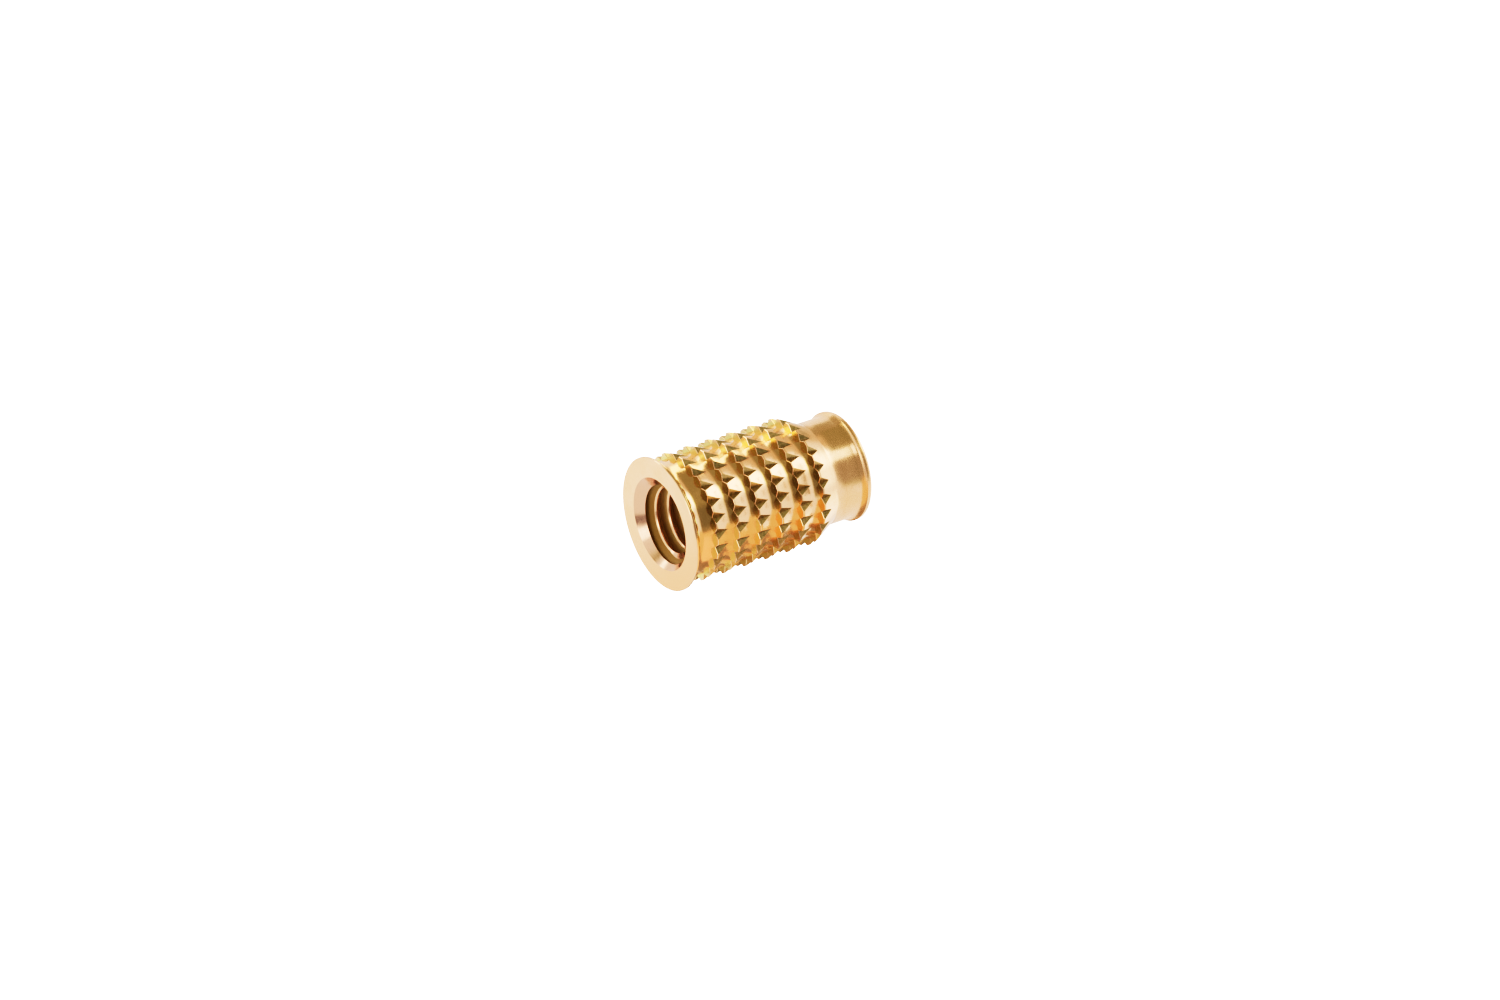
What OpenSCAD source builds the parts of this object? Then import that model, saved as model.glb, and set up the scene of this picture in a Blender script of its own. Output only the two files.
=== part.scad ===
// Press-in threaded insert, turned from brass bar in one piece.
// The pilot's end stands on z = 0 and the flange faces up, along +Z.

/* [Flange] */
// Outside diameter of the flange
flange_d = 6.6; // [6.5:0.05:8]
// Height of the rim around the flange
flange_rim_h = 0.12; // [0.08:0.02:0.4]
// Bevel on the upper edge of the rim
flange_bevel = 0.03; // [0.02:0.01:0.06]
// Radius of the hollow under the flange, where it flows into the neck
flange_fillet_r = 0.43; // [0.2:0.01:0.44]

/* [Neck] */
// Diameter of the neck, and of the grooves between the barbs
core_d = 5.7; // [5.5:0.02:5.72]
// Plain length between the hollow under the flange and the first barb
neck_l = 0.72; // [0.4:0.02:1.5]

/* [Barbs] */
// Number of barbed rings
barb_count = 6; // [2:1:9]
// Height of the crests above the grooves
barb_h = 0.3; // [0.28:0.01:0.42]
// Width of the narrow land on each crest
crest_land_w = 0.05; // [0.04:0.01:0.2]
// Length of the ramp from the land down to the groove
ramp_l = 0.73; // [0.5:0.01:0.9]
// Width of the groove between a ramp and the next barb's steep face
groove_w = 0.42; // [0.3:0.01:0.8]
// Radius of the hollow where a ramp flows into its groove
groove_fillet_r = 0.36; // [0.1:0.02:0.4]
// Length of the last ramp, which runs on down to the pilot
last_ramp_l = 1.16; // [0.8:0.02:1.6]

/* [Notches] */
// Number of notches around each barb
notch_count = 24; // [16:1:28]
// Depth of a notch below the crest
notch_depth = 0.27; // [0.15:0.01:0.28]
// Angle between the two walls of a notch
notch_angle = 92; // [60:2:100]

/* [Pilot] */
// Diameter of the pilot
pilot_d = 5.08; // [4.9:0.02:5.2]
// Length of the straight part of the pilot
pilot_l = 1.24; // [0.6:0.02:2]
// How far the collar that ends the pilot stands out from it
collar_step = 0.17; // [0.08:0.01:0.24]
// Height of the straight band around the collar
collar_band_h = 0.1; // [0.04:0.02:0.6]
// Radius of the hollow where the pilot flares into the collar
collar_flare_r = 0.36; // [0.32:0.02:0.6]
// Radius of the round at the collar's end
collar_round_r = 0.2; // [0.1:0.02:0.24]

/* [Bore] */
// Tapping diameter of the bore
bore_d = 3.3; // [2.9:0.05:3.5]
// Diameter of the lead-in at the flange's face
lead_in_d = 4.61; // [4.2:0.01:5]
// Full angle of the lead-in
lead_in_angle = 90; // [60:5:110]
// Diameter of the chamfer at the pilot's end of the bore
exit_d = 4.2; // [3.8:0.05:4.4]
// Full angle of that chamfer
exit_angle = 90; // [60:5:100]

/* [Hidden] */
$fn = 96;

flange_r = flange_d / 2;
core_r = core_d / 2;
crest_r = core_r + barb_h;
pilot_r = pilot_d / 2;
collar_r = pilot_r + collar_step;
bore_r = bore_d / 2;
lead_in_r = lead_in_d / 2;
exit_r = exit_d / 2;

// How fast the ramps between the barbs fall, and the distance from crest to crest
ramp_slope = barb_h / ramp_l;
barb_pitch = crest_land_w + ramp_l + groove_w;

// The hollow at the foot of a ramp starts this far from the corner that it fills
groove_fillet_l = groove_fillet_r * tan(atan(ramp_slope) / 2);
groove_fillet_in = groove_fillet_l * cos(atan(ramp_slope));

// The flare leaves the pilot as a tangent and ends where it is as wide as the collar
collar_flare_h = sqrt(collar_flare_r ^ 2 - (collar_flare_r - collar_step) ^ 2);

// Heights, from the pilot's end up to the flange's face
collar_top_z = collar_round_r + collar_band_h;
pilot_bottom_z = collar_top_z + collar_flare_h;
pilot_top_z = pilot_bottom_z + pilot_l;
last_crest_z = pilot_top_z + last_ramp_l + crest_land_w;
first_crest_z = last_crest_z + (barb_count - 1) * barb_pitch;
neck_top_z = first_crest_z + neck_l;
rim_bottom_z = neck_top_z + flange_fillet_r;
total_l = rim_bottom_z + flange_rim_h;

lead_in_depth = (lead_in_r - bore_r) / tan(lead_in_angle / 2);
exit_depth = (exit_r - bore_r) / tan(exit_angle / 2);

// How far a cut runs past the surface that it opens
overrun = 0.1;

// Height of the corner between the ramp below a crest and its groove
function ramp_foot_z(crest_z) = crest_z - crest_land_w - ramp_l;

// One barb in section: the steep face, the land, the ramp and the hollow at its foot
function barb_points(crest_z) = [
    [core_r, crest_z],
    [crest_r, crest_z],
    [crest_r, crest_z - crest_land_w],
    [core_r + ramp_slope * groove_fillet_in, ramp_foot_z(crest_z) + groove_fillet_in],
    [core_r, ramp_foot_z(crest_z) - groove_fillet_l]
];

// The side of the insert in section, from the flange's face down to the pilot's end
function side_points() = [
    [flange_r - flange_bevel, total_l],
    [flange_r, total_l - flange_bevel],
    [flange_r, rim_bottom_z],
    [core_r + flange_fillet_r, rim_bottom_z],
    [core_r, neck_top_z],
    for (i = [1 : barb_count - 1]) each barb_points(last_crest_z + (barb_count - i) * barb_pitch),
    [core_r, last_crest_z],
    [crest_r, last_crest_z],
    [crest_r, last_crest_z - crest_land_w],
    [pilot_r, pilot_top_z],
    [pilot_r, pilot_bottom_z],
    [collar_r, collar_top_z],
    [collar_r, 0]
];

// What the round takes off the corner of the collar's end
module collar_corner() {
    difference() {
        translate([collar_r - collar_round_r, -overrun])
            square([collar_round_r + overrun, collar_round_r + overrun]);
        translate([collar_r - collar_round_r, collar_round_r]) circle(collar_round_r);
    }
}

// Half the section of the insert before it is bored and notched
module side_section() {
    difference() {
        polygon(concat([[0, total_l]], side_points(), [[0, 0]]));
        translate([core_r + flange_fillet_r, neck_top_z]) circle(flange_fillet_r);
        for (i = [1 : barb_count - 1])
            translate([
                core_r + groove_fillet_r,
                ramp_foot_z(last_crest_z + i * barb_pitch) - groove_fillet_l
            ])
                circle(groove_fillet_r);
        translate([pilot_r + collar_flare_r, pilot_bottom_z]) circle(collar_flare_r);
        collar_corner();
    }
}

// The tapping bore, with the lead-in at the flange and the chamfer at the pilot's end
module bore() {
    translate([0, 0, -overrun]) cylinder(h = total_l + 2 * overrun, r = bore_r);
    translate([0, 0, total_l - lead_in_depth])
        cylinder(h = lead_in_depth, r1 = bore_r, r2 = lead_in_r);
    cylinder(h = exit_depth, r1 = exit_r, r2 = bore_r);
}

// One straight notch along the insert, which cuts the crests of all the barbs
module notch() {
    mouth = notch_depth + overrun;
    half_w = mouth * tan(notch_angle / 2);
    translate([crest_r - notch_depth, 0, pilot_top_z])
        linear_extrude(height = first_crest_z + neck_l / 2 - pilot_top_z)
            polygon([[0, 0], [mouth, -half_w], [mouth, half_w]]);
}

module insert_body() {
    color([0.85, 0.66, 0.33]) difference() {
        rotate_extrude() side_section();
        bore();
        for (i = [0 : notch_count - 1]) rotate((i + 0.5) * 360 / notch_count) notch();
    }
}

insert_body();
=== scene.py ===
"""A press-in threaded insert of bright turned brass, standing on its pilot's end."""

import math

import bmesh
import bpy
from mathutils import Matrix, Vector


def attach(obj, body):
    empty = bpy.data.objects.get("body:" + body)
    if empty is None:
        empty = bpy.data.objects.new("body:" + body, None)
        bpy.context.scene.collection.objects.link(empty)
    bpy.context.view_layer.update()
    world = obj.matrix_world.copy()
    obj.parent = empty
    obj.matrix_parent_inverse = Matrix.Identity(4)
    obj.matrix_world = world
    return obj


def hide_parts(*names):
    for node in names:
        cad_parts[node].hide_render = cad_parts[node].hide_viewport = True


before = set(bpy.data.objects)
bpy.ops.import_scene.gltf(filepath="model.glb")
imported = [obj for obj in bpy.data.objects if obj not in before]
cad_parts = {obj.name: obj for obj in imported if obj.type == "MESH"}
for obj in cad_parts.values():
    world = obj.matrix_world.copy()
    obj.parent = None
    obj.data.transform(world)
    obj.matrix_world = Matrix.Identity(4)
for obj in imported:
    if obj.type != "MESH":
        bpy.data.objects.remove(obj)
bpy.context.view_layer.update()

# The insert's sizes are in millimetres, and Blender works in metres
MM = 0.001

# Sizes of the insert, as in the CAD model
FLANGE_R = 3.3
RIM_H = 0.12
BEVEL = 0.03
FLANGE_FILLET = 0.43
CORE_R = 2.85
NECK_L = 0.72
BARBS = 6
CREST_R = 3.15
LAND_W = 0.05
RAMP_L = 0.73
GROOVE_W = 0.42
LAST_RAMP_L = 1.16
NOTCHES = 24
NOTCH_DEPTH = 0.27
NOTCH_HALF = math.radians(46)
PILOT_R = 2.54
PILOT_L = 1.24
COLLAR_R = 2.71
BAND_H = 0.1
FLARE_R = 0.36
END_ROUND = 0.2
LEAD_R = 2.305
LEAD_SLOPE = 1.0
EXIT_R = 2.1
EXIT_SLOPE = 1.0

# Softer here than in the CAD model: the height of the hollow under the flange, and the radius
# of the hollows at the feet of the ramps
HOLLOW_H = 0.6
GROOVE_FILLET = 1.3

# The internal thread, M4 x 0.7, with its first root this far below the face on the +Y side
PITCH = 0.7
MAJOR_R = 2.05
MINOR_R = 1.62
ROOT_DEPTH = 0.47

# Broken edges: on the barbs and notches, above and below the thread's crests, and under the rim
EDGE = 0.022
CREST_UPPER = 0.045
CREST_LOWER = 0.02
RIM_ROUND = 0.01
# How far a broken crest runs on past its corner, for each unit of its height on the flank
CREST_REACH = 0.732

# How many faces divide each surface
STEPS = 5
COLUMNS = NOTCHES * 2 * STEPS
RIM_ROWS = 3
HOLLOW_ROWS = 14
STEEP_ROWS = 4
RAMP_ROWS = 5
NOTCHED_FOOT_ROWS = 3
PLAIN_FOOT_ROWS = 5
LAST_RAMP_ROWS = 8
LAST_FOOT_ROWS = 4
PILOT_ROWS = 3
COLLAR_ROWS = 8
END_ROWS = 4

# Kinds of face, which the material tells apart with a margin: END is an end face or the cone at
# the pilot's end
TURNED, NOTCH, THREAD, END, STEEP, LEAD_IN = range(6)
KIND_MARGIN = 0.1

# Corners in one cell of this grid are one corner, and those within the distance are joined later
CELLS_PER_MM = 20000
JOIN_DISTANCE = 0.0002 * MM
# A face of the bore lies on a cone if its corners stand off from it by less than this in sum
CONE_MARGIN = 0.04
# A row counts as below the notches if it is no farther out than this past their bottom
NOTCH_MARGIN = 1e-9
# Faces that meet at more than this angle keep a sharp edge
SHARP_ANGLE = math.radians(30)

NOTCH_R = CREST_R - NOTCH_DEPTH
SLOPE = (CREST_R - CORE_R) / RAMP_L
LAST_SLOPE = (CREST_R - PILOT_R) / LAST_RAMP_L
BARB_PITCH = LAND_W + RAMP_L + GROOVE_W
RAMP_TILT = math.degrees(math.atan(SLOPE))
TAN_60 = math.tan(math.radians(60))
COLLAR_STEP = COLLAR_R - PILOT_R
FLARE_H = math.sqrt(FLARE_R ** 2 - (FLARE_R - COLLAR_STEP) ** 2)

# Heights, from the pilot's end up to the flange's face
Z_COLLAR = END_ROUND + BAND_H
Z_FLARE = Z_COLLAR + FLARE_H
Z_PILOT = Z_FLARE + PILOT_L
Z_LAST = Z_PILOT + LAST_RAMP_L + LAND_W
Z_FIRST = Z_LAST + (BARBS - 1) * BARB_PITCH
Z_NECK = Z_FIRST + NECK_L
Z_RIM = Z_NECK + FLANGE_FILLET
LENGTH = Z_RIM + RIM_H

# Turns of the thread that are drawn below and above the first root, before the ends trim them
TURNS_BELOW = math.ceil(LENGTH / PITCH) + 2
TURNS_ABOVE = 4


def arc(centre_r, centre_z, radius, start, end, count):
    """Points on an arc of the section, from one angle in degrees to another."""
    points = []
    for i in range(count + 1):
        angle = math.radians(start + (end - start) * i / count)
        points.append((centre_r + radius * math.cos(angle), centre_z + radius * math.sin(angle)))
    return points


def line(a, b, count):
    """Points from a to b, without a itself."""
    return [
        (a[0] + (b[0] - a[0]) * i / count, a[1] + (b[1] - a[1]) * i / count)
        for i in range(1, count + 1)
    ]


def column_angle(j):
    """The angle about the axis of one column of the bore and the ends."""
    return 2 * math.pi * j / COLUMNS


def notch_half_angle(r, widen=0.0):
    """Half the angle that a notch, its walls set back by widen, takes out of a circle."""
    bottom = NOTCH_R - widen / math.sin(NOTCH_HALF)
    if r <= bottom + NOTCH_MARGIN:
        return 0.0
    return NOTCH_HALF - math.asin(bottom / r * math.sin(NOTCH_HALF))


class Skin:
    """Collects faces by their corners, and joins the corners that meet."""

    def __init__(self):
        self.index = {}
        self.verts = []
        self.faces = []
        self.kinds = []

    def corner(self, r, angle, z):
        """The number of the corner at a place, which is added if it is new."""
        point = (r * math.cos(angle), r * math.sin(angle), z)
        key = tuple(round(c * CELLS_PER_MM) for c in point)
        if key not in self.index:
            self.index[key] = len(self.verts)
            self.verts.append([c * MM for c in point])
        return self.index[key]

    def face(self, corners, kind, flip=False):
        """One face, unless its corners fall together to a line or a point."""
        ids = []
        for c in corners[::-1] if flip else corners:
            i = self.corner(*c)
            if i not in ids:
                ids.append(i)
        if len(ids) > 2:
            self.faces.append(ids)
            self.kinds.append(kind)

    def strip(self, upper, lower, kind, flip):
        """The faces between two rows of corners."""
        for j in range(len(upper) - 1):
            self.face([upper[j], lower[j], lower[j + 1], upper[j + 1]], kind, flip)


def groove_hollow(z, start, end, count):
    """Part of the hollow at the foot of the ramp of the barb with its crest at z."""
    back = GROOVE_FILLET * math.tan(math.radians(RAMP_TILT) / 2)
    centre_z = z - LAND_W - RAMP_L - back
    return arc(CORE_R + GROOVE_FILLET, centre_z, GROOVE_FILLET, 180 - start, 180 - end, count)


# Each row of the outside is (r, z, widen): widen is None where the row has no notches,
# and otherwise how far its broken edge stands back from the notch's wall
def barb_rows(z, last):
    """One barb from the foot of its steep face to the end of its ramp."""
    top = CREST_R - EDGE
    low = NOTCH_R - EDGE / math.sin(NOTCH_HALF)
    rows = [(CORE_R, z, None), (low, z, EDGE)]
    rows += [(r, h, EDGE) for r, h in line((low, z), (top, z), STEEP_ROWS)]
    rows.append((CREST_R - 0.5 * EDGE, z - 0.5 * EDGE, 0.5 * EDGE))
    rows.append((CREST_R, z - EDGE, 0.0))
    edge = (CREST_R, z - LAND_W)
    rows.append((*edge, 0.0))
    if last:
        apex = (NOTCH_R, edge[1] - (CREST_R - NOTCH_R) / LAST_SLOPE)
        rows += [(r, h, 0.0) for r, h in line(edge, apex, LAST_RAMP_ROWS)]
        rows += [(r, h, None) for r, h in line(apex, (PILOT_R, Z_PILOT), LAST_FOOT_ROWS)]
    else:
        turn = math.degrees(math.acos(1 - (NOTCH_R - CORE_R) / GROOVE_FILLET))
        upper = groove_hollow(z, RAMP_TILT, turn, NOTCHED_FOOT_ROWS)
        rows += [(r, h, 0.0) for r, h in line(edge, upper[0], RAMP_ROWS) + upper[1:]]
        rows += [(r, h, None) for r, h in groove_hollow(z, turn, 0, PLAIN_FOOT_ROWS)[1:]]
    return rows


def all_barbs():
    """The rows of each barb, from the flange down."""
    return [barb_rows(Z_FIRST - i * BARB_PITCH, i == BARBS - 1) for i in range(BARBS)]


def side_rows():
    """The outside from the edge of the flange's face to the end face."""
    rim_z = Z_RIM + RIM_ROUND
    plain = [(FLANGE_R - BEVEL, LENGTH), (FLANGE_R, LENGTH - BEVEL), (FLANGE_R, rim_z)]
    plain += arc(FLANGE_R - RIM_ROUND, rim_z, RIM_ROUND, 0, -90, RIM_ROWS)[1:]
    hollow_z = Z_RIM - HOLLOW_H
    for r, h in arc(CORE_R + FLANGE_FILLET, 0, FLANGE_FILLET, 90, 180, HOLLOW_ROWS):
        plain.append((r, hollow_z + h * HOLLOW_H / FLANGE_FILLET))
    rows = [(r, z, None) for r, z in plain]
    for barb in all_barbs():
        rows += barb
    plain = line((PILOT_R, Z_PILOT), (PILOT_R, Z_FLARE), PILOT_ROWS)
    sweep = math.degrees(math.asin(FLARE_H / FLARE_R))
    plain += arc(PILOT_R + FLARE_R, Z_FLARE, FLARE_R, 180, 180 + sweep, COLLAR_ROWS)[1:]
    plain.append((COLLAR_R, END_ROUND))
    plain += arc(COLLAR_R - END_ROUND, END_ROUND, END_ROUND, 0, -90, COLLAR_ROWS)[1:]
    return rows + [(r, z, None) for r, z in plain]


def side_columns(row, centre, sign):
    """The corners of one row between a notch's centre and the middle of the land beside it."""
    r, z, widen = row
    opening = 0.0 if widen is None else notch_half_angle(r, widen)
    half = math.pi / NOTCHES
    return [
        (r, centre + sign * (opening + (half - opening) * j / STEPS), z)
        for j in range(STEPS + 1)
    ]


def wall_columns(r, z, centre, sign, shares):
    """The corners of one row across a notch's wall, from its bottom line to its edge."""
    a = notch_half_angle(r)
    edge = (r * math.cos(a), r * math.sin(a))
    points = []
    for s in shares:
        x = NOTCH_R + (edge[0] - NOTCH_R) * s
        y = edge[1] * s
        points.append((math.hypot(x, y), centre + sign * math.atan2(y, x), z))
    return points


def outside_kind(upper_z, lower_z):
    """The kind of the faces between two rows: the upper half of the flange's hollow is steep too."""
    steep = upper_z == lower_z or Z_RIM - HOLLOW_H / 2 < lower_z <= Z_RIM
    return STEEP if steep else TURNED


def add_outside(skin):
    """The turned outside with its notches."""
    rows = side_rows()
    barbs = all_barbs()
    for n in range(NOTCHES):
        centre = (n + 0.5) * 2 * math.pi / NOTCHES
        for sign in (1, -1):
            grid = [side_columns(row, centre, sign) for row in rows]
            for upper, lower in zip(grid, grid[1:]):
                skin.strip(upper, lower, outside_kind(upper[0][2], lower[0][2]), sign < 0)
            for barb in barbs:
                add_notch_wall(skin, barb, centre, sign)


def add_notch_wall(skin, rows, centre, sign):
    """One wall of the notch in one barb, with its broken edge."""
    flip = sign < 0
    cut = [row for row in rows if row[2] is not None]
    front = [row for row in cut if row[2] > 0]
    shares = [i / (len(front) - 2) for i in range(len(front) - 1)]
    grid = [wall_columns(r, h, centre, sign, shares) for r, h, _ in cut[len(front):]]
    for upper, lower in zip(grid, grid[1:]):
        skin.strip(upper, lower, NOTCH, flip)
    edge = [side_columns(row, centre, sign)[0] for row in front]
    skin.strip(edge[:-1], grid[0], TURNED, flip)
    skin.face([edge[-2], grid[0][-1], edge[-1]], TURNED, flip)


def lead_r(z):
    """Radius of the lead-in's cone at a height."""
    return LEAD_R - (LENGTH - z) * LEAD_SLOPE


def exit_r(z):
    """Radius of the cone at the pilot's end of the bore at a height."""
    return EXIT_R - z * EXIT_SLOPE


def thread_turn():
    """One turn of the thread in section.

    Each point is (r, height above the root's middle, kind of the face above). The root's flat
    is an eighth of the pitch wide.
    """
    root = PITCH / 16
    flank = (MAJOR_R - MINOR_R) / TAN_60
    low, high = root + flank, PITCH - root - flank
    return [
        (MAJOR_R, -root, THREAD),
        (MAJOR_R, root, THREAD),
        (MINOR_R + CREST_LOWER * TAN_60, low - CREST_LOWER, TURNED),
        (MINOR_R, low + CREST_REACH * CREST_LOWER, TURNED),
        (MINOR_R, high - CREST_REACH * CREST_UPPER, TURNED),
        (MINOR_R + CREST_UPPER * TAN_60, high + CREST_UPPER, THREAD),
    ]


def crossing(a, b, cone):
    """Where the line from a to b, points (r, z), meets a cone, or b held outside it."""
    over_a, over_b = a[0] - cone(a[1]), b[0] - cone(b[1])
    if over_a * over_b >= 0:
        return max(b[0], cone(b[1])), b[1]
    share = over_a / (over_a - over_b)
    z = a[1] + (b[1] - a[1]) * share
    return cone(z), z


def thread_column(angle):
    """The bore's section at one angle: what lies past an end falls together at its edge."""
    base = LENGTH - ROOT_DEPTH + PITCH * (angle - math.pi / 2) / (2 * math.pi)
    corners = [
        (r, base + k * PITCH + h, kind)
        for k in range(-TURNS_BELOW, TURNS_ABOVE)
        for r, h, kind in thread_turn()
    ]
    points = []
    for (r, z, kind), (next_r, next_z, _) in zip(corners, corners[1:]):
        cone = lead_r if z > LENGTH / 2 else exit_r
        middle = crossing((r, z), (next_r, next_z), cone)
        points += [(max(r, cone(z)), z, kind), (*middle, kind)]
    clean = []
    for r, z, kind in points:
        if z >= LENGTH:
            r, z = LEAD_R, LENGTH
        if z <= 0:
            r, z = EXIT_R, 0.0
        clean.append((r, z, kind))
    return clean


def add_bore(skin):
    """The threaded bore with its lead-in and its exit chamfer."""
    columns = [thread_column(column_angle(j)) for j in range(COLUMNS + 1)]
    for j in range(COLUMNS):
        a, b = column_angle(j), column_angle(j + 1)
        here, there = columns[j], columns[j + 1]
        for i in range(len(here) - 1):
            (r0, z0, kind), (r1, z1, _) = here[i], here[i + 1]
            (r2, z2, _), (r3, z3, _) = there[i + 1], there[i]
            corners = ((r0, a, z0), (r1, a, z1), (r2, b, z2), (r3, b, z3))
            if sum(r - max(lead_r(z), exit_r(z)) for r, _, z in corners) < CONE_MARGIN:
                kind = LEAD_IN if z0 > LENGTH / 2 else END
            skin.face(corners, kind)


def add_end(skin, inner, outer, z, up):
    """The flat ring that closes one end."""
    radii = [inner + (outer - inner) * i / END_ROWS for i in range(END_ROWS + 1)]
    for j in range(COLUMNS):
        a, b = column_angle(j), column_angle(j + 1)
        for r0, r1 in zip(radii, radii[1:]):
            skin.face([(r0, a, z), (r1, a, z), (r1, b, z), (r0, b, z)], END, not up)


def make_insert():
    """The whole insert as one closed mesh, smooth apart from its edges."""
    skin = Skin()
    add_outside(skin)
    add_bore(skin)
    add_end(skin, LEAD_R, FLANGE_R - BEVEL, LENGTH, True)
    add_end(skin, EXIT_R, COLLAR_R - END_ROUND, 0.0, False)
    mesh = bpy.data.meshes.new("insert")
    mesh.from_pydata(skin.verts, [], skin.faces)
    kind = mesh.attributes.new("kind", "INT", "FACE")
    kind.data.foreach_set("value", skin.kinds)
    bm = bmesh.new()
    bm.from_mesh(mesh)
    bmesh.ops.remove_doubles(bm, verts=bm.verts, dist=JOIN_DISTANCE)
    bm.to_mesh(mesh)
    bm.free()
    mesh.shade_smooth()
    mesh.set_sharp_from_angle(angle=SHARP_ANGLE)
    piece = bpy.data.objects.new("brass_insert", mesh)
    bpy.context.scene.collection.objects.link(piece)
    weigh = piece.modifiers.new("face_weighted_normals", "WEIGHTED_NORMAL")
    weigh.mode = "FACE_AREA"
    weigh.keep_sharp = True
    return piece


class Nodes:
    """Adds nodes to a tree; an input is a number, a vector or another node's output."""

    # Sockets of a Mix node that mixes colours
    MIX_SHARE, MIX_A, MIX_B, MIX_RESULT = 0, 6, 7, 2

    def __init__(self, tree):
        self.tree = tree

    def put(self, socket, value):
        """Links an output to a socket, or sets the socket's own value."""
        if isinstance(value, bpy.types.NodeSocket):
            self.tree.links.new(value, socket)
        else:
            socket.default_value = value

    def add(self, kind, **inputs):
        """A node with some of its inputs set by name."""
        node = self.tree.nodes.new(kind)
        for name, value in inputs.items():
            self.put(node.inputs[name.replace("_", " ")], value)
        return node

    def noise(self, place, scale, detail):
        """A noise between 0 and 1."""
        return self.add("ShaderNodeTexNoise", Vector=place, Scale=scale, Detail=detail).outputs[0]

    def math(self, operation, *values):
        """The result of a Math node."""
        node = self.tree.nodes.new("ShaderNodeMath")
        node.operation = operation
        for socket, value in zip(node.inputs, values):
            self.put(socket, value)
        return node.outputs[0]

    def product(self, first, *others):
        """All the values multiplied together."""
        for other in others:
            first = self.math("MULTIPLY", first, other)
        return first

    def weighted(self, values, weights):
        """The sum of the values, each times its weight."""
        terms = [self.math("MULTIPLY", value, weight) for value, weight in zip(values, weights)]
        total = terms[0]
        for term in terms[1:]:
            total = self.math("ADD", total, term)
        return total

    def length(self, x, y):
        """The length of a vector with two parts."""
        return self.math("SQRT", self.weighted((x, y), (x, y)))

    def ramp(self, value, low, high, out_low=0.0, out_high=1.0):
        """A smooth step from out_low to out_high as value goes from low to high."""
        node = self.tree.nodes.new("ShaderNodeMapRange")
        node.interpolation_type = "SMOOTHSTEP"
        for socket, number in zip(node.inputs, (value, low, high, out_low, out_high)):
            self.put(socket, number)
        return node.outputs[0]

    def either(self, mask, off, on):
        """One number where the mask is 0 and another where it is 1."""
        return self.ramp(mask, 0.0, 1.0, off, on)

    def between(self, share, one, other):
        """A number that goes from one to the other as share goes from 0 to 1."""
        return self.weighted((self.math("SUBTRACT", 1.0, share), share), (one, other))

    def mix(self, share, a, b):
        """A colour between a and b."""
        node = self.tree.nodes.new("ShaderNodeMix")
        node.data_type = "RGBA"
        self.put(node.inputs[self.MIX_SHARE], share)
        self.put(node.inputs[self.MIX_A], a)
        self.put(node.inputs[self.MIX_B], b)
        return node.outputs[self.MIX_RESULT]


# Tones of the brass, in pairs where one fades into the other, and where they fade. The end, notch,
# steep and thread tones hold painted light and shade
TURNED_TONES = (0.93, 0.6, 0.4, 1), (0.9, 0.57, 0.36, 1)
STAIN_FADE = 0.35, 0.7
# Painted shade: the end faces turn darker and warmer from x = 1.5 mm to x = -3.5 mm
END_SHADE_TONE = (0.88, 0.5, 0.29, 1)
END_SHADE_FADE_X = 1.5 * MM, -3.5 * MM
# Painted shade in the notches: their walls take darker tones, mottled by the grain
NOTCH_SHADE_TONES = (0.6, 0.45, 0.26, 1), (0.74, 0.54, 0.33, 1)
NOTCH_FADE = 0.4, 0.6
# The steep faces fade from a brass tone at the crest to an olive tone at the root, a painted tint for
# the shade that falls there; the upper half of the flange's hollow takes these tones too
STEEP_BRASS_AND_SHADE_TONES = (0.79, 0.65, 0.3, 1), (0.89, 0.63, 0.39, 1)
STEEP_FADE_R = 2.94 * MM, 3.08 * MM
LEAD_IN_TONE = (0.79, 0.51, 0.36, 1)
# Painted light and shade in the thread: a dark tone on the first turn below the face, where light
# reaches in, and a lighter tone deeper down, which makes up for the shade of the bore
THREAD_SHADE_AND_LIGHT_TONES = (0.46, 0.27, 0.06, 1), (0.79, 0.56, 0.22, 1)
THREAD_LIGHT_FADE_Z = (LENGTH - 0.8) * MM, (LENGTH - 1.2) * MM

# Roughness of the turned brass, from shares of the lines and the grain, and what duller places add
ROUGH_SHARES = 0.6, 0.4
ROUGH_FADE = 0.3, 0.7
ROUGHNESS = 0.13, 0.23
NOTCH_DULL = 0.14
THREAD_DULL = 0.16
PILOT_DULL = 0.1
PILOT_FADE_Z = 1.9 * MM, 1.7 * MM
THREAD_METALLIC = 0.2

# Noises: their scale, in cells to the metre, and their detail
LINES_NOISE = 26000.0, 3.0
GRAIN_NOISE = 9000.0, 2.0
WAVES_NOISE = 2200.0, 1.0
STAIN_NOISE = 900.0, 3.0
# The share of the lines' scale that is left along the notches, which draws the lines out there
NOTCH_STRETCH = 0.06

# Relief: how the lines and the grain add up to a height, and how deep and strong it and the waves are
LINES_HEIGHT = 0.7
GRAIN_HEIGHT = 0.3
NOTCH_GRAIN_HEIGHT = 1.6
LINES_DEPTH = 0.004 * MM
WAVES_DEPTH = 0.01 * MM
LINES_STRENGTH = 0.35
WAVES_STRENGTH = 0.5


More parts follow.
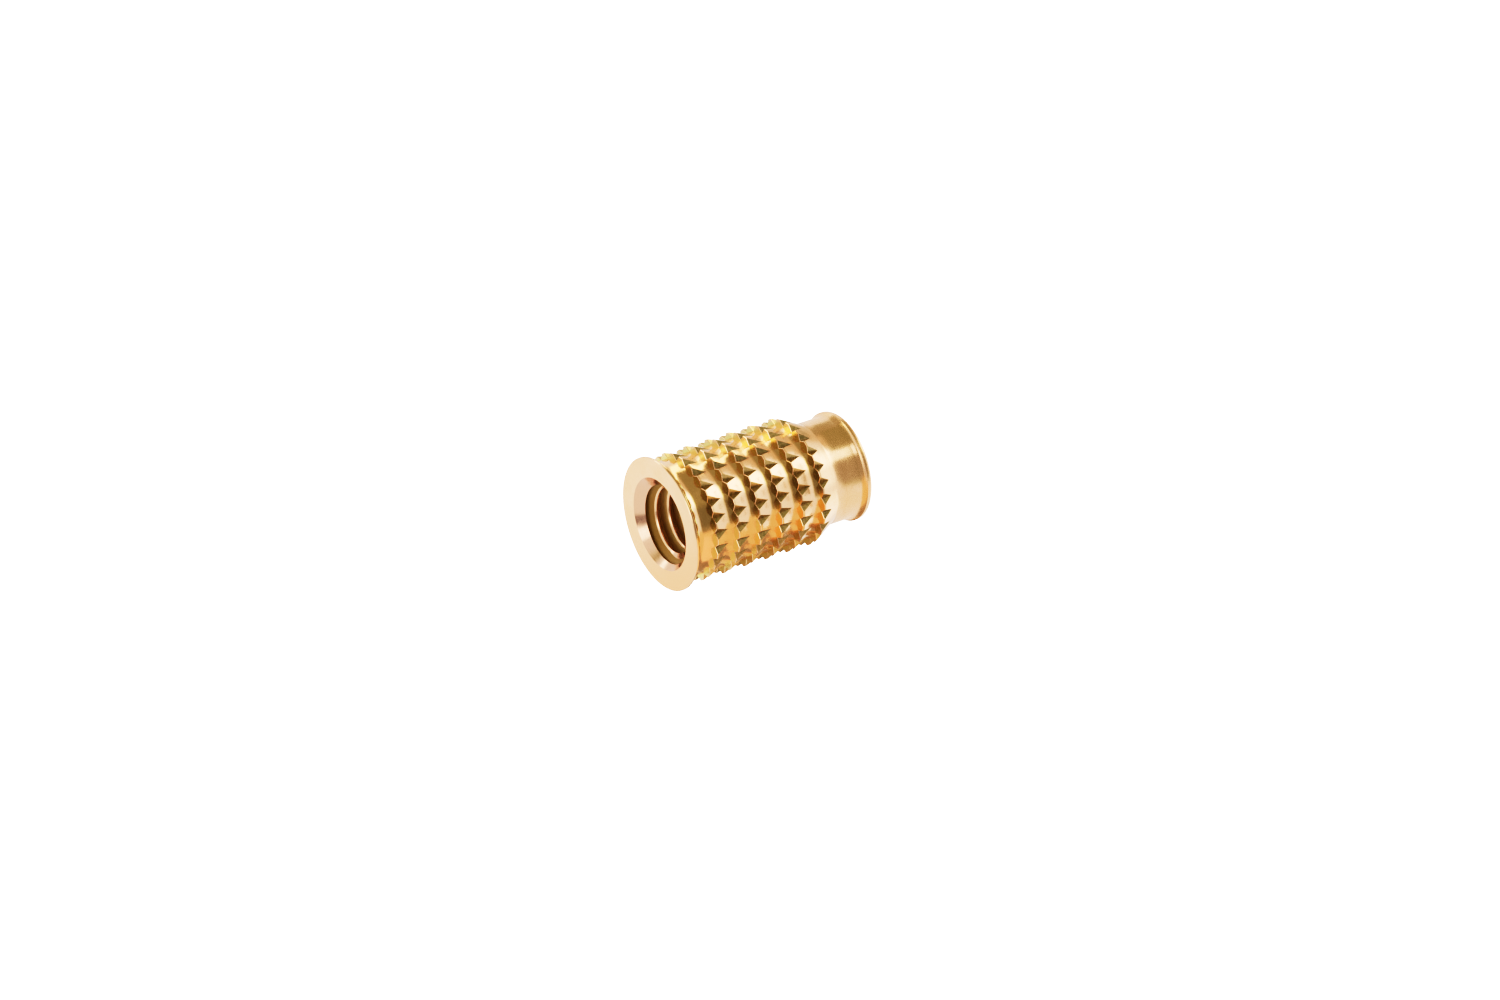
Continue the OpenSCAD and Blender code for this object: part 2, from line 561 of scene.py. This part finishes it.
def brass():
    """Turned brass: fine tool lines around the axis, a little mottling, dull notches, painted shade
    in the notches, at the steep faces' roots and on the ends, and painted light and shade in the
    thread.
    """
    mat = bpy.data.materials.new("turned_brass")
    mat.use_nodes = True
    n = Nodes(mat.node_tree)
    shader = mat.node_tree.nodes["Principled BSDF"]
    place = n.add("ShaderNodeTexCoord").outputs["Object"]
    x, y, z = n.add("ShaderNodeSeparateXYZ", Vector=place).outputs
    radius = n.length(x, y)
    kind = n.add("ShaderNodeAttribute")
    kind.attribute_name = "kind"
    notch, thread, end, steep, lead_in = (
        n.math("COMPARE", kind.outputs["Fac"], number, KIND_MARGIN)
        for number in (NOTCH, THREAD, END, STEEP, LEAD_IN)
    )
    pilot = n.ramp(z, *PILOT_FADE_Z)
    along = n.product(z, n.either(notch, 1.0, NOTCH_STRETCH))
    section = n.add("ShaderNodeCombineXYZ", X=radius, Y=along).outputs[0]
    lines = n.noise(section, *LINES_NOISE)
    grain = n.noise(place, *GRAIN_NOISE)
    stain = n.noise(place, *STAIN_NOISE)
    waves = n.noise(place, *WAVES_NOISE)

    tone = n.mix(n.ramp(stain, *STAIN_FADE), *TURNED_TONES)
    # Painted shade on the ends, darker and warmer towards -X
    tone = n.mix(n.product(end, n.ramp(x, *END_SHADE_FADE_X)), tone, END_SHADE_TONE)
    # Painted shade: darker tones on the notch walls
    tone = n.mix(notch, tone, n.mix(n.ramp(grain, *NOTCH_FADE), *NOTCH_SHADE_TONES))
    # Brass at the steep faces' crests, painted olive shade at their roots
    tone = n.mix(steep, tone, n.mix(n.ramp(radius, *STEEP_FADE_R), *STEEP_BRASS_AND_SHADE_TONES))
    tone = n.mix(lead_in, tone, LEAD_IN_TONE)
    # Painted shade on the thread's first turn, painted light on the deeper turns
    tone = n.mix(thread, tone, n.mix(n.ramp(z, *THREAD_LIGHT_FADE_Z), *THREAD_SHADE_AND_LIGHT_TONES))
    n.put(shader.inputs["Base Color"], tone)

    rough = n.ramp(n.weighted((lines, grain), ROUGH_SHARES), *ROUGH_FADE, *ROUGHNESS)
    dull = n.weighted((notch, thread, pilot), (NOTCH_DULL, THREAD_DULL, PILOT_DULL))
    n.put(shader.inputs["Roughness"], n.math("ADD", rough, dull))
    n.put(shader.inputs["Metallic"], n.either(thread, 1.0, THREAD_METALLIC))

    grain_height = n.either(notch, GRAIN_HEIGHT, NOTCH_GRAIN_HEIGHT)
    height = n.weighted((lines, grain), (LINES_HEIGHT, grain_height))
    fine = n.add("ShaderNodeBump", Strength=LINES_STRENGTH, Distance=LINES_DEPTH, Height=height)
    broad = n.add("ShaderNodeBump", Strength=WAVES_STRENGTH, Distance=WAVES_DEPTH, Height=waves)
    n.put(broad.inputs["Normal"], fine.outputs[0])
    n.put(shader.inputs["Normal"], broad.outputs[0])
    return mat


# The camera: how far it is rolled, how far the insert's axis leans towards it, how far off it is,
# and how far the insert's middle is from the middle of the photograph
CAMERA_ROLL = math.radians(18.1)
CAMERA_LIFT = math.radians(28)
CAMERA_DISTANCE = 351.0
PHOTO_W_PX = 1500
PX_PER_MM = 21.05
RIGHT_PX = 1.4
UP_PX = 5.6
SENSOR_W = 36.0
CLIP_START = 0.01
CLIP_END = 10.0
TO_CAMERA = Vector((0, -math.cos(CAMERA_LIFT), math.sin(CAMERA_LIFT)))

# How far the camera and the studio are turned about the insert's axis
TURN_ANGLE = math.radians(2)
TURN = Matrix.Rotation(TURN_ANGLE, 4, "Z")


def make_camera():
    """The photograph's view: the axis 62 degrees off the line of sight, turned on its side."""
    axis = Vector((0, 0, -1))
    along = (axis - axis.dot(TO_CAMERA) * TO_CAMERA).normalized()
    across = TO_CAMERA.cross(along)
    right = math.cos(CAMERA_ROLL) * along - math.sin(CAMERA_ROLL) * across
    up = math.sin(CAMERA_ROLL) * along + math.cos(CAMERA_ROLL) * across
    middle = Vector((0, 0, LENGTH / 2))
    target = middle - right * (RIGHT_PX / PX_PER_MM) - up * (UP_PX / PX_PER_MM)
    place = target + TO_CAMERA * CAMERA_DISTANCE
    data = bpy.data.cameras.new("camera")
    data.sensor_width = SENSOR_W
    data.lens = SENSOR_W * CAMERA_DISTANCE / (PHOTO_W_PX / PX_PER_MM)
    data.clip_start, data.clip_end = CLIP_START, CLIP_END
    camera = bpy.data.objects.new("camera", data)
    turn = Matrix((right, up, TO_CAMERA)).transposed().to_4x4()
    camera.matrix_world = TURN @ Matrix.Translation(place * MM) @ turn
    bpy.context.scene.collection.objects.link(camera)
    bpy.context.scene.camera = camera


# The sheets of the stage: half the floor's width in metres, their light and their own dark colour
FLOOR_HALF = 3.0
FLOOR_LIGHT = 3.0
WHITE = (1, 1, 1, 1)
SHEET_COLOUR = (0.02, 0.02, 0.02, 1)

# Reflector cards: two corners in millimetres, the colour and the strength
CARDS = (
    ("gold_card", (-5.5, -7.5, 0), (-5.5, -0.5, 6.5), (1, 0.74, 0.45, 1), 1.0),
    ("warm_card", (-5.5, -7.5, 6.5), (-5.5, -0.5, 8.4), (1, 0.68, 0.48, 1), 1.3),
    ("brown_card", (-5.5, -0.5, 0), (-5.5, 3, 8.4), (1, 0.85, 0.55, 1), 0.42),
    ("top_card", (5.7, -1.7, 0.9), (5.7, 0.2, 8), (1, 0.9, 0.68, 1), 2.4),
    ("white_card", (0.6, -3.9, 0), (1.5, -3.5, 1.25), WHITE, 1.7),
    ("dim_card", (-1.9, -3.6, 0), (0.6, -3.9, 1.25), (1, 1, 0.75, 1), 0.42),
    ("grey_card", (2.75, -1.75, 0), (3.3, -0.65, 1.35), (1, 1, 0.7, 1), 0.47),
    ("shade_card", (-5.6, 3.6, 0), (-2.3, 3.9, 10.2), (1, 0.72, 0.42, 1), 0.5),
    ("cream_card", (2.2, 3.9, 0), (5.6, 3.6, 10.2), (1, 0.98, 0.98, 1), 0.95),
)


def make_sheet(name, corners, colour, strength):
    """A flat sheet that glows and casts no shadow, with its corners in metres."""
    mesh = bpy.data.meshes.new(name)
    mesh.from_pydata(corners, [], [(0, 1, 2, 3)])
    mat = bpy.data.materials.new(name)
    mat.use_nodes = True
    shader = mat.node_tree.nodes["Principled BSDF"]
    shader.inputs["Base Color"].default_value = SHEET_COLOUR
    shader.inputs["Roughness"].default_value = 1.0
    shader.inputs["Specular IOR Level"].default_value = 0.0
    shader.inputs["Emission Color"].default_value = colour
    shader.inputs["Emission Strength"].default_value = strength
    mesh.materials.append(mat)
    sheet = bpy.data.objects.new(name, mesh)
    sheet.visible_shadow = False
    bpy.context.scene.collection.objects.link(sheet)
    return sheet


def make_floor():
    """A white light table, which the brass itself does not mirror."""
    s = FLOOR_HALF
    floor = make_sheet("floor", [(-s, -s, 0), (s, -s, 0), (s, s, 0), (-s, s, 0)], WHITE, FLOOR_LIGHT)
    floor.visible_glossy = False


def make_card(name, corner, opposite, colour, strength):
    """An upright reflector card, out of the camera's sight, between two corners in millimetres."""
    (x0, y0, z0), (x1, y1, z1) = ([c * MM for c in p] for p in (corner, opposite))
    corners = [(x0, y0, z0), (x1, y1, z0), (x1, y1, z1), (x0, y0, z1)]
    card = make_sheet(name, corners, colour, strength)
    card.matrix_world = TURN
    card.visible_camera = False


# The tent's light, as strengths, and where it changes. A name with an axis or a way gives parts of
# the direction in which a place of the tent is seen from the insert
TENT_LIGHT = 1.1
AWAY_FADE = 0.8, 1.0
AWAY_ADDS = 0.15
BELOW_FADE_Z = -0.955, -0.975
BELOW_ADDS = 0.45

# The dark side, with its headings and their edges in degrees, a darker middle and a darker lens
DARK_HEADING = 116
DARK_EDGE = 77, 68
DARK_BOTTOM_Z = -0.72, -0.6
DARK_TOP_Z = 0.8, 0.6
DARK_MIDDLE_HEADING = 77
DARK_MIDDLE_EDGE = 28, 14
DARK_LIGHT = 0.4, 0.29
LENS_FADE = 0.75, 0.97
LENS_SHARE = 0.6
DARK_TINT = (1, 1.03, 0.6, 1)

# Three places low in the tent: a bright window in front, a warm one towards +X, and a light one
# behind, towards -X. The window and the warm one have edges across one way
WINDOW_WAY = (0.951, 0.222, 0.215)
WINDOW_EDGE = 0.24, 0.1
WINDOW_BOTTOM_Z = -0.55, -0.7
WINDOW_BACK_Y = 0.1, -0.1
WINDOW_LIGHT = 2.3
WARM_EDGE = 0.19, 0.3
WARM_BOTTOM_Z = -0.55, -0.65
WARM_LIGHT = 0.8
WARM_TINT = (1, 0.87, 0.7, 1)
LOW_EDGE_Y = 0.02, 0.15
LOW_EDGE_X = 0.0, -0.2
LOW_BOTTOM_Z = -0.65, -0.8
LOW_LIGHT = 1.6

# Round spots on the tent: the direction, the outer and inner half-angle of the edge, the strength
SPOTS = (
    ((0.0, 0.17, 0.985), 36, 24, 0.75),
    ((0.1, -0.46, 0.88), 14, 8, 2.2),
    ((-0.32, -0.4, 0.86), 10, 5, 0.4),
    ((0.79, 0.4, 0.46), 9, 5, 2.3),
)

# The least distance from the axis that a heading is worked out for
LEAST_FLAT = 0.001


def cosines(degrees):
    """The cosines of two angles."""
    return [math.cos(math.radians(angle)) for angle in degrees]


def make_studio():
    """A white tent around the insert, dark on the side that the camera looks in from."""
    world = bpy.data.worlds.new("studio")
    bpy.context.scene.world = world
    world.use_nodes = True
    n = Nodes(world.node_tree)
    back = world.node_tree.nodes["Background"]
    way = n.add("ShaderNodeTexCoord").outputs["Generated"]
    way = n.add("ShaderNodeMapping", Vector=way, Rotation=(0, 0, -TURN_ANGLE)).outputs[0]
    x, y, z = n.add("ShaderNodeSeparateXYZ", Vector=way).outputs
    flat = n.math("MAXIMUM", n.length(x, y), LEAST_FLAT)

    def facing(degrees):
        """Cosine of the angle about Z from a heading, counted from -X towards -Y."""
        a = math.radians(degrees)
        return n.math("DIVIDE", n.weighted((x, y), (-math.cos(a), -math.sin(a))), flat)

    tent = n.ramp(n.weighted((y, z), (-TO_CAMERA.y, TO_CAMERA.z)), *AWAY_FADE, 0.0, AWAY_ADDS)
    tent = n.math("ADD", tent, TENT_LIGHT)
    tent = n.math("ADD", tent, n.ramp(z, *BELOW_FADE_Z, 0.0, BELOW_ADDS))
    across = n.weighted((x, y, z), WINDOW_WAY)
    warm = n.product(n.ramp(across, *WARM_EDGE), n.ramp(z, *WARM_BOTTOM_Z))
    tent = n.between(warm, tent, WARM_LIGHT)
    low = n.product(n.ramp(y, *LOW_EDGE_Y), n.ramp(x, *LOW_EDGE_X), n.ramp(z, *LOW_BOTTOM_Z))
    tent = n.between(low, tent, LOW_LIGHT)

    dark = n.ramp(facing(DARK_HEADING), *cosines(DARK_EDGE))
    dark = n.product(dark, n.ramp(z, *DARK_BOTTOM_Z), n.ramp(z, *DARK_TOP_Z))
    shade = n.ramp(facing(DARK_MIDDLE_HEADING), *cosines(DARK_MIDDLE_EDGE), *DARK_LIGHT)
    lens = n.ramp(n.weighted((y, z), (TO_CAMERA.y, TO_CAMERA.z)), *LENS_FADE, 1.0, LENS_SHARE)
    light = n.between(dark, tent, n.product(shade, lens))

    window = n.ramp(n.math("ABSOLUTE", across), *WINDOW_EDGE)
    window = n.product(window, n.ramp(z, *WINDOW_BOTTOM_Z), n.ramp(y, *WINDOW_BACK_Y))
    light = n.between(window, light, WINDOW_LIGHT)
    for direction, outer, inner, strength in SPOTS:
        spot = n.ramp(n.weighted((x, y, z), direction), *cosines((outer, inner)))
        light = n.between(spot, light, strength)

    colour = n.mix(warm, WHITE, WARM_TINT)
    n.put(back.inputs["Color"], n.mix(dark, colour, DARK_TINT))
    n.put(back.inputs["Strength"], light)


# The tone curve, from light in the scene to light in the picture, and the light at its end
TONES = (
    (0.06, 0.0145),
    (0.14, 0.061),
    (0.27, 0.195),
    (0.36, 0.32),
    (0.5, 0.5),
    (0.8, 0.75),
    (1.1, 0.87),
    (1.5, 0.95),
)
TONES_END = 2
# The curve that acts on all three colours, after those for red, green and blue
COMBINED_CURVE = 3


def set_tones():
    """A photograph's tone curve: deep shadows and soft highlights."""
    view = bpy.context.scene.view_settings
    view.view_transform = "Standard"
    view.use_curve_mapping = True
    curves = view.curve_mapping
    curves.white_level = (TONES_END, TONES_END, TONES_END)
    points = curves.curves[COMBINED_CURVE].points
    for scene_light, picture_light in TONES:
        points.new(scene_light / TONES_END, picture_light)
    curves.update()


piece = make_insert()
piece.data.materials.append(brass())
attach(piece, "root")
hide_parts("insert_body")

make_camera()
make_floor()
for card_values in CARDS:
    make_card(*card_values)
make_studio()
set_tones()
